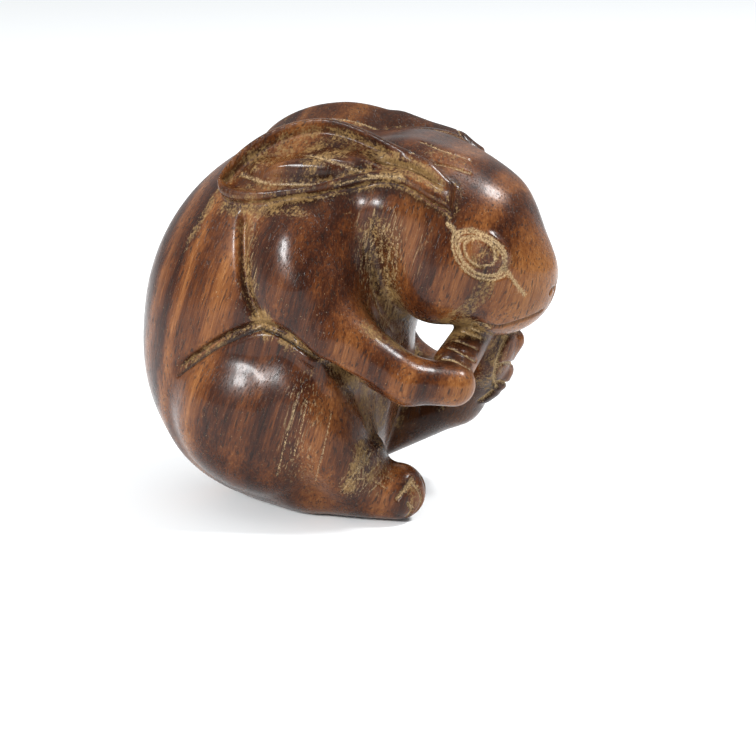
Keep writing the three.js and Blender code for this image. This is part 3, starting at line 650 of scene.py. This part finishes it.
def graver():
    """Cuts a groove into a surface along the lines of another object, and marks where it cut.

    The groove's width swells and shrinks along the way, as a hand-held graver's does.
    """
    g = Grower("graver", (
        ("Lines", "NodeSocketObject"), ("Width", "NodeSocketFloat"), ("Depth", "NodeSocketFloat"),
        ("Raggedness", "NodeSocketFloat"), ("Filling", "NodeSocketFloat"), ("Mark", "NodeSocketString"),
        ("Wood", "NodeSocketMaterial"),
    ))
    lines = g.node("GeometryNodeObjectInfo", {"Object": g.given["Lines"]}, transform_space="RELATIVE")
    near = g.node("GeometryNodeProximity", {0: lines.outputs["Geometry"]}, target_element="EDGES")
    noise = g.node("ShaderNodeTexNoise", {"Scale": GRAVER_WAVES, "Detail": 3.0}).outputs["Fac"]
    swell = g.maths("MULTIPLY_ADD", g.maths("SUBTRACT", noise, 0.5), g.given["Raggedness"], 1.0)
    width = g.maths("MAXIMUM", g.maths("MULTIPLY", g.given["Width"], swell), THINNEST_LINE)
    share = g.maths("DIVIDE", near.outputs["Distance"], width)
    groove = g.maths("EXPONENT", g.maths("MULTIPLY", g.maths("MULTIPLY", share, share), -1.0))
    sink = g.maths("MULTIPLY", g.maths("MULTIPLY", groove, g.given["Depth"]), -1.0)
    normal = g.node("GeometryNodeInputNormal").outputs[0]
    inward = g.node("ShaderNodeVectorMath", {0: normal, "Scale": sink}, operation="SCALE")
    already = g.node("GeometryNodeInputNamedAttribute", {"Name": g.given["Mark"]}).outputs["Attribute"]
    mark = g.maths("MAXIMUM", already, g.maths("MULTIPLY", groove, g.given["Filling"]))
    marked = g.node("GeometryNodeStoreNamedAttribute", {
        "Geometry": g.given["Geometry"], "Name": g.given["Mark"], "Value": mark,
    }).outputs[0]
    cut = g.node("GeometryNodeSetPosition", {"Geometry": marked, "Offset": inward.outputs[0]}).outputs[0]
    return g.finish(cut, g.given["Wood"])


def run_graver(thing, tree, material, name, mark, paths, width, depth, raggedness, filling):
    """Adds the graver to the carving for one group of lines."""
    points, edges = [], []
    for path in paths:
        samples = curve_through(path, 6)
        edges += [(len(points) + i, len(points) + i + 1) for i in range(len(samples) - 1)]
        points += [tuple(p) for p in samples]
    drawn = bpy.data.meshes.new(name)
    drawn.from_pydata(settled(points).tolist(), edges, [])
    guide = in_scene(drawn)
    cutter = thing.modifiers.new(name, "NODES")
    cutter.node_group = tree
    values = {
        "Lines": guide, "Width": width, "Depth": depth,
        "Raggedness": raggedness, "Filling": filling, "Mark": mark, "Wood": material,
    }
    for item in tree.interface.items_tree:
        if item.item_type == "SOCKET" and item.in_out == "INPUT" and item.name in values:
            cutter[item.identifier] = values[item.name]
    return guide


def settled(points):
    """The places on the carving nearest to some points near it."""
    places = np.array(points, float)
    for _ in range(3):
        places = places - outward(places) * hare(*places.T)[:, None]
    return places


def eye_rings(side):
    """The almond rings around one eye, pointed at both ends."""
    middle, lengthwise, upwards = (np.array(v, float) for v in (EYE_MIDDLE, EYE_LENGTHWISE, EYE_UPWARDS))
    rings = []
    for long_share, high_share, forward, upward in EYE_RINGS:
        ring = []
        for turn in np.linspace(0, 2 * math.pi, EYE_RING_POINTS):
            along = math.cos(turn) * long_share + forward
            up = math.sin(turn) * abs(math.sin(turn)) ** EYE_POINTEDNESS * high_share + upward
            place = middle + lengthwise * along + upwards * up
            ring.append((place[0], place[1] * side, place[2]))
        rings.append(ring)
    return rings


def both_sides(paths):
    """The lines of the right side, and the same lines on the left."""
    return paths + tuple(tuple((x, -y, z) for x, y, z in path) for path in paths)


# ------------------------------------------------------------------ wax and dirt, and painted shade, in the hollows

def outward(points, reach=0.05):
    """Unit normals of the carving at points on or near it."""
    x, y, z = points.T
    steps = (
        hare(x + reach, y, z) - hare(x - reach, y, z),
        hare(x, y + reach, z) - hare(x, y - reach, z),
        hare(x, y, z + reach) - hare(x, y, z - reach),
    )
    slope = np.stack(steps, 1)
    return slope / np.maximum(np.linalg.norm(slope, axis=1, keepdims=True), 1e-9)


def hollowness(points, normals, reach):
    """0 on open ground, up to 1 where the carving closes over a point within the reach."""
    x, y, z = (points + normals * reach).T
    return np.clip(1 - hare(x, y, z) / reach, 0, 1)


def in_patches(points, patches):
    """The amount of the strongest patch at each point, fading out towards the patch's edge."""
    most = np.zeros(len(points))
    for start, end, radii, amount in patches:
        away = limb(*points.T, (start, end, radii))
        most = np.maximum(most, amount * (1 - ramp(-0.6 * radii[0], 0.35 * radii[0], away)))
    return most


def wax_left(points, normals):
    """How much pale wax and dust has stayed at each point, from 0 to 1."""
    wax = sum(amount * hollowness(points, normals, reach) for reach, amount in WAX_IN_HOLLOWS)
    for crease, spread in WAX_IN_CREASES:
        wax = np.maximum(wax, CREASE_WAX * crease_mark(*points.T, crease, spread))

    # In the dish of the ear the wax lies evenly, with less on the rubbed fold and more in the stalk.
    reach, along, off, out = ear_place(*points.T)
    fold = ear_fold(along, off, *FOLD_AS_RUBBED)
    dish = ramp(0.45, 0.9, -ear_edge(reach, along, off)) * ramp(-3.2, -2.8, out)
    in_stalk = STALK_WAX * (1 - ramp(0.2, 0.6, along))
    dish *= DISH_WAX - FOLD_LOSS * fold * ramp(0.3, 0.42, along) + in_stalk
    rubbed = wax * (1 - FOLD_POLISH * fold * ramp(0.4, 0.9, dish))
    wax = np.where((reach > 0) & (reach < 1), np.maximum(rubbed, dish), wax)
    return np.clip(np.maximum(wax, in_patches(points, WAX_PATCHES)), 0, 1)


def grime_and_shade_left(points, normals):
    """How far each point is painted darker, from 0 to 1: painted shade in the hollows, grime on the rims
    of the ears, and the patches of both.
    """
    # Painted shade: darker where the carving closes over a point.
    hollow = ramp(0.2, 0.65, hollowness(points, normals, SHADE_REACH))
    reach, along, off, out = ear_place(*points.T)
    edge = ear_edge(reach, along, off)
    rim = ramp(-0.75, -0.35, edge) * (1 - ramp(0.3, 0.9, edge)) * ramp(-3, -2, out)
    rim = rim * ((reach > 0) & (reach < 1.03))
    grime = np.maximum(HOLLOW_SHADE * hollow, RIM_GRIME * rim)
    return np.maximum(grime, in_patches(points, GRIME_AND_SHADE_PATCHES))


def store(mesh, name, values):
    """Keeps one number for each point of the mesh, for the wood to read."""
    field = mesh.attributes.new(name, "FLOAT", "POINT")
    field.data.foreach_set("value", values.astype(np.float32))


# ------------------------------------------------------------------ the wood

class Shading:
    """A material's node tree, with short ways to place its nodes."""

    def __init__(self, name):
        self.material = bpy.data.materials.new(name)
        self.material.use_nodes = True
        self.tree = self.material.node_tree
        self.skin = self.tree.nodes["Principled BSDF"]

    def node(self, kind, inputs=None, **settings):
        made = self.tree.nodes.new("ShaderNode" + kind)
        for name, value in settings.items():
            setattr(made, name, value)
        for name, value in (inputs or {}).items():
            self.feed(made.inputs[name], value)
        return made

    def feed(self, socket, value):
        if isinstance(value, bpy.types.NodeSocket):
            self.tree.links.new(value, socket)
        else:
            socket.default_value = value

    def surface(self, **values):
        """Feeds the skin's inputs; an underscore stands for a space in their names."""
        for name, value in values.items():
            self.feed(self.skin.inputs[name.replace("_", " ")], value)

    def maths(self, operation, a, b=0.0, clamp=False):
        return self.node("Math", {0: a, 1: b}, operation=operation, use_clamp=clamp).outputs[0]

    def plus(self, a, b):
        return self.maths("ADD", a, b)

    def times(self, a, b):
        return self.maths("MULTIPLY", a, b)

    def swing(self, noise, strength=1.0):
        """Noise moved to swing about 0."""
        return self.times(self.maths("SUBTRACT", noise, 0.5), strength)

    def streaks(self, place, scale, detail=2.0, rough=0.55, seed=0.0):
        """Noise whose scale along each axis is given in waves per millimetre."""
        place = self.node("Mapping", {"Vector": place, "Scale": scale, "Location": (seed, 0, 0)})
        settings = {"Vector": place.outputs[0], "Scale": 1.0, "Detail": detail, "Roughness": rough}
        return self.node("TexNoise", settings).outputs["Fac"]

    def between(self, value, low, high, out_low=0.0, out_high=1.0):
        made = self.node("MapRange", {"Value": value, 1: low, 2: high, 3: out_low, 4: out_high})
        return made.outputs[0]

    def blend(self, amount, a, b):
        return self.node("MixRGB", {"Fac": amount, "Color1": a, "Color2": b}).outputs[0]

    def ramp(self, value, stops):
        """Colours that change along a value, as (place, colour) from 0 to 1."""
        made = self.node("ValToRGB", {"Fac": value})
        elements = made.color_ramp.elements
        for place, colour in stops[2:]:
            elements.new(place)
        for element, (place, colour) in zip(sorted(elements, key=lambda e: e.position), stops):
            element.position = place
            element.color = colour
        return made.outputs[0]

    def amount(self, name):
        """What was kept under this name for each point of the mesh."""
        return self.node("Attribute", attribute_name=name).outputs["Fac"]


# Where the layers of the block lie, in mm across them, and how light each one is.
LAYERS = (
    (-25.8, 0.3), (-22.8, 0.35), (-21.4, 0.2), (-20.1, 0.72), (-19.1, 0.4), (-17.9, 0.15), (-16.8, 0.85),
    (-15.6, 0.42), (-13.8, 0.55), (-12, 0.85), (-10.9, 0.6), (-9.8, 0.3), (-8.2, 0.26), (-6.3, 0.48),
    (-4.8, 0.18), (-3.3, 0.42), (-2, 0.25), (0, 0.62), (1.4, 0.7), (2.8, 0.5), (4.5, 0.28),
    (5.8, 0.66), (6.8, 0.72), (8.2, 0.25), (9.7, 0.75), (11.5, 0.95), (14.2, 0.6),
)
GRAIN_LEAN = math.radians(17)
GRAIN_TURN = math.radians(13)
WOOD_TONES = (
    (0.0, (0.01326, 0.00452, 0.00256, 1)),
    (0.25, (0.03264, 0.00914, 0.00384, 1)),
    (0.5, (0.07446, 0.02218, 0.00672, 1)),
    (0.75, (0.1448, 0.04959, 0.01408, 1)),
    (1.0, (0.2295, 0.09222, 0.02816, 1)),
)
PORE_BROWN = (0.012, 0.006, 0.004, 1)
# The dark brown of painted shade and of grime.
GRIME_AND_SHADE_BROWN = (0.015, 0.0062, 0.0032, 1)
# Near-black of the painted shade in the lines of the creases, mouth and nose.
SHADE_LINE = (0.010, 0.006, 0.004, 1)
OLD_WAX, WAX_CRUST = (0.070, 0.036, 0.013, 1), (0.335, 0.205, 0.076, 1)
DUST, CHALK = (0.15, 0.088, 0.036, 1), (0.50, 0.36, 0.19, 1)


def hardwood():
    """Striped rosewood, oiled and handled until it shines, with wax and dust in every cut, and painted
    shade in its hollows and creases.
    """
    s = Shading("striped_rosewood")
    place = s.node("TexCoord").outputs["Object"]
    grain = s.node("Mapping", {
        "Vector": place, "Rotation": (0, -GRAIN_LEAN, GRAIN_TURN), "Scale": (1 / MM, 1 / MM, 1 / MM),
    }).outputs[0]

    # The layers of the block, wandering and fraying along the grain.
    wander = s.swing(s.streaks(grain, (0.12, 0.12, 0.035)), 2.6)
    fray = s.swing(s.streaks(grain, (0.9, 0.9, 0.1), 3.0))
    across = s.node("SeparateXYZ", {"Vector": grain}).outputs[0]
    across = s.plus(across, s.plus(wander, fray))
    first, last = LAYERS[0][0], LAYERS[-1][0]
    layers = [((at - first) / (last - first), (tone, tone, tone, 1)) for at, tone in LAYERS]
    tone = s.ramp(s.between(across, first, last), layers)
    mottle = s.swing(s.streaks(grain, (1.6, 1.6, 0.1), 3.0, 0.6, 3.1), 0.8)
    threads = s.swing(s.streaks(grain, (6.5, 6.5, 0.3), 2.0, 0.6, 7.7))
    tone = s.maths("ADD", s.plus(tone, mottle), s.times(threads, 0.75), clamp=True)
    colour = s.ramp(tone, WOOD_TONES)
    pores = s.between(s.streaks(grain, (5.5, 5.5, 0.85), 1.0, 0.4, 12.3), 0.61, 0.68)
    colour = s.blend(s.times(pores, 0.72), colour, PORE_BROWN)
    # Painted shade in the hollows and shaded places, with grime on the ears' rims, darkens the wood.
    colour = s.blend(s.times(s.amount("grime"), 0.85), colour, GRIME_AND_SHADE_BROWN)

    # Wax and dust that has crumbled and smeared.
    crumbs = s.streaks(grain, (4.5, 4.5, 3.0), 7.0, 0.78, 21.0)
    smears = s.streaks(grain, (0.9, 0.9, 0.7), 3.0, 0.6, 5.0)
    wax = s.amount("wax")
    film = s.plus(s.plus(wax, s.swing(crumbs, 2.8)), s.swing(smears, 1.4))
    film = s.times(s.between(film, 0.44, 0.84), s.between(wax, 0.06, 0.3))
    ochre = s.blend(s.between(crumbs, 0.3, 0.7), OLD_WAX, WAX_CRUST)
    colour = s.blend(s.times(film, 0.85), colour, ochre)

    # Pale filling in the cut lines and in the strokes of the fur; painted shade as dark lines in the
    # creases and the mouth.
    hairs = s.between(s.streaks(grain, (6.0, 6.0, 0.22), 2.0, 0.6, 44.0), 0.57, 0.65)
    fur = s.times(s.between(s.plus(s.amount("fur"), s.swing(crumbs)), 0.2, 0.6), hairs)
    grit = s.streaks(grain, (9.0, 9.0, 6.0), 3.0, 0.7, 63.0)
    broken = s.swing(s.blend(0.5, crumbs, grit), 3.6)
    filling = s.between(s.plus(s.amount("cut"), broken), 0.32, 0.8)
    filling = s.maths("MAXIMUM", filling, s.times(fur, 0.7))
    cream = s.blend(s.between(grit, 0.35, 0.65), DUST, CHALK)
    colour = s.blend(s.times(filling, 0.85), colour, cream)
    # Painted shade: near-black lines along the creases and the lines of the mouth and nose.
    colour = s.blend(s.times(s.amount("ink"), 0.9), colour, SHADE_LINE)

    # Polish from handling, dull where wax lies; pores and threads can just be felt.
    dull = s.maths("MAXIMUM", film, filling)
    handling = s.streaks(grain, (0.25, 0.25, 0.15), 3.0, 0.6, 31.0)
    rough = s.plus(s.between(handling, 0.3, 0.7, 0.21, 0.33), s.times(dull, 0.35))
    rough = s.plus(rough, s.times(pores, 0.08))
    height = s.maths("SUBTRACT", s.times(threads, 0.35), pores)
    height = s.plus(height, s.times(crumbs, s.between(dull, 0, 1, 0.35, 1.6)))
    bump = s.node("Bump", {"Height": height, "Strength": 0.35, "Distance": 0.06 * MM})
    s.surface(
        Base_Color=colour, Roughness=rough, Normal=bump.outputs[0],
        Specular_IOR_Level=0.17, Coat_Weight=0.1, Coat_Roughness=0.12,
    )
    return s.material


# ------------------------------------------------------------------ making the carving

# Each group of lines: name, mark, lines, width, depth, raggedness and how full it is: of wax, or, for
# the dark lines in the creases and face, of painted shade.
LINE_GROUPS = (
    ("eye", "cut", eye_rings(1) + eye_rings(-1), 0.14, 0.12, 1.2, 0.9),
    ("eye_tails", "cut", both_sides(RIGHT_EYE_TAILS), 0.26, 0.12, 1.2, 0.9),
    ("toes", "cut", TOE_CUTS, 0.22, 0.34, 0.8, 0.95),
    ("fingers", "cut", FINGER_CUTS, 0.13, 0.17, 0.8, 0.8),
    ("face", "ink", both_sides(RIGHT_FACE_CUTS) + LIP_CLEFT, 0.2, 0.2, 0.5, 0.5),
    ("crest", "cut", both_sides(RIGHT_CREST_CUTS) + BETWEEN_THE_EARS, 0.12, 0.14, 0.9, 0.7),
    ("ears", "cut", both_sides(RIGHT_EAR_CUTS) + LOWER_EAR_CUT, 0.2, 0.12, 1.2, 0.7),
    ("fur", "cut", FUR_CUTS, 0.09, 0.05, 1.3, 0.6),
    ("creases", "ink", CREASE_CUTS, 0.13, 0.3, 0.8, 0.9),
)


def carved(wood):
    """The hare, skinned, with all its lines cut and its mesh thinned."""
    points, faces = skin(NET_STEP)
    mesh = plain_mesh("carved_hare", points, faces)
    thing = in_scene(mesh)
    # Marks start empty: the pale filling of the cuts, and the painted shade of the dark lines.
    for mark in ("cut", "ink"):
        store(mesh, mark, np.zeros(len(points)))

    tree = graver()
    guides = [run_graver(thing, tree, wood, *group) for group in LINE_GROUPS]
    mesh = made_plain(thing)
    for guide in guides:
        lines = guide.data
        bpy.data.objects.remove(guide)
        bpy.data.meshes.remove(lines)

    triangles = 2 * len(faces)
    if triangles > MOST_TRIANGLES:
        thin = thing.modifiers.new("thin", "DECIMATE")
        thin.ratio = MOST_TRIANGLES / triangles
        thin.use_collapse_triangulate = True
        mesh = made_plain(thing)
    mesh.name = "carved_hare"
    return thing


def points_of(mesh):
    """The mesh's points, in rows."""
    points = np.empty(len(mesh.vertices) * 3, np.float32)
    mesh.vertices.foreach_get("co", points)
    return points.reshape(-1, 3).astype(np.float64)


def placed(points):
    """The points in metres, where the solid stands and just inside its box."""
    low, high = points.min(0), points.max(0)
    solid_low, solid_high = (np.array(corner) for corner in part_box("rabbit"))
    fit = min((solid_high - solid_low) / ((high - low) * MM)) * SNUGNESS
    points = (points - (low + high) / 2) * MM * fit + (solid_low + solid_high) / 2
    points[:, 2] += solid_low[2] - points[:, 2].min()
    return points


wood = hardwood()
hare_piece = carved(wood)
mesh = hare_piece.data
points = points_of(mesh)
normals = outward(points)
store(mesh, "wax", wax_left(points, normals))
# Painted shade in the hollows and shaded places, and grime on the ears' rims.
store(mesh, "grime", grime_and_shade_left(points, normals))
store(mesh, "fur", in_patches(points, FUR_PATCHES))
mesh.vertices.foreach_set("co", placed(points).astype(np.float32).ravel())
mesh.polygons.foreach_set("use_smooth", np.ones(len(mesh.polygons), bool))
mesh.materials.clear()
mesh.materials.append(wood)
mesh.update()

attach(hare_piece, "root")
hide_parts("rabbit")

# ------------------------------------------------------------------ table, light and camera

TABLE_HALF, TABLE_DROP = 1.5, 0.00003
HARE_MIDDLE = Vector((0.0, 0.0, 0.018))
LAMP_DISTANCE, LAMP_POWER = 0.45, 2.3
SKY_TOWARDS, SKY_SHARES, SKY_GLOW = (-0.30, 0.28, 0.91), (-0.15, 0.95), (0.09, 0.95)
CAMERA_TURN, CAMERA_RISE = math.radians(16), math.radians(15)
CAMERA_DISTANCE = 0.240
AIM = Vector((0.00287, 0.00009, 0.0121))


def facing(thing, aim, towards, distance):
    """Sets a lamp or camera off from a point and turns it to look back at it."""
    away = Vector(towards).normalized()
    thing.location = aim + away * distance
    thing.rotation_mode = "QUATERNION"
    thing.rotation_quaternion = away.to_track_quat("Z", "Y")


def soft_light(name, towards, size):
    """A square lamp that faces the hare from the given direction."""
    lamp = bpy.data.lights.new(name, "AREA")
    lamp.size = size
    lamp.energy = LAMP_POWER
    facing(in_scene(lamp), HARE_MIDDLE, towards, LAMP_DISTANCE)


corners = [(x * TABLE_HALF, y * TABLE_HALF, 0) for x, y in ((-1, -1), (1, -1), (1, 1), (-1, 1))]
table_top = bpy.data.meshes.new("table")
table_top.from_pydata(corners, [], [(0, 1, 2, 3)])
table = in_scene(table_top)
table.location.z = cad_low[2] - TABLE_DROP
paper = Shading("white_paper")
paper.surface(
    Base_Color=(0.90, 0.925, 0.94, 1), Roughness=0.9, Specular_IOR_Level=0.1,
    Emission_Color=(1, 1, 1, 1), Emission_Strength=0.02,
)
table_top.materials.append(paper.material)

# The studio's walls are brightest overhead and behind, and dark in front and below.
world = bpy.data.worlds.new("studio")
bpy.context.scene.world = world
world.use_nodes = True
sky = world.node_tree
around = sky.nodes.new("ShaderNodeTexCoord").outputs["Generated"]
share = sky.nodes.new("ShaderNodeVectorMath")
share.operation = "DOT_PRODUCT"
share.inputs[1].default_value = SKY_TOWARDS
sky.links.new(around, share.inputs[0])
glow = sky.nodes.new("ShaderNodeMapRange")
for slot, value in zip((1, 2, 3, 4), SKY_SHARES + SKY_GLOW):
    glow.inputs[slot].default_value = value
sky.links.new(share.outputs["Value"], glow.inputs["Value"])
sky.nodes["Background"].inputs["Color"].default_value = (1, 1, 1, 1)
sky.links.new(glow.outputs[0], sky.nodes["Background"].inputs["Strength"])
bpy.context.scene.view_settings.view_transform = "Standard"

soft_light("key", (-0.45, -0.80, 0.42), 0.085)
soft_light("overhead", (0.60, 0.14, 0.79), 0.10)

lens = bpy.data.cameras.new("camera")
lens.lens = 118.8
lens.sensor_width = 36
lens.clip_start, lens.clip_end = 0.01, 10
camera = in_scene(lens)
side = math.cos(CAMERA_RISE)
back = (math.sin(CAMERA_TURN) * side, -math.cos(CAMERA_TURN) * side, math.sin(CAMERA_RISE))
facing(camera, AIM, back, CAMERA_DISTANCE)
bpy.context.scene.camera = camera
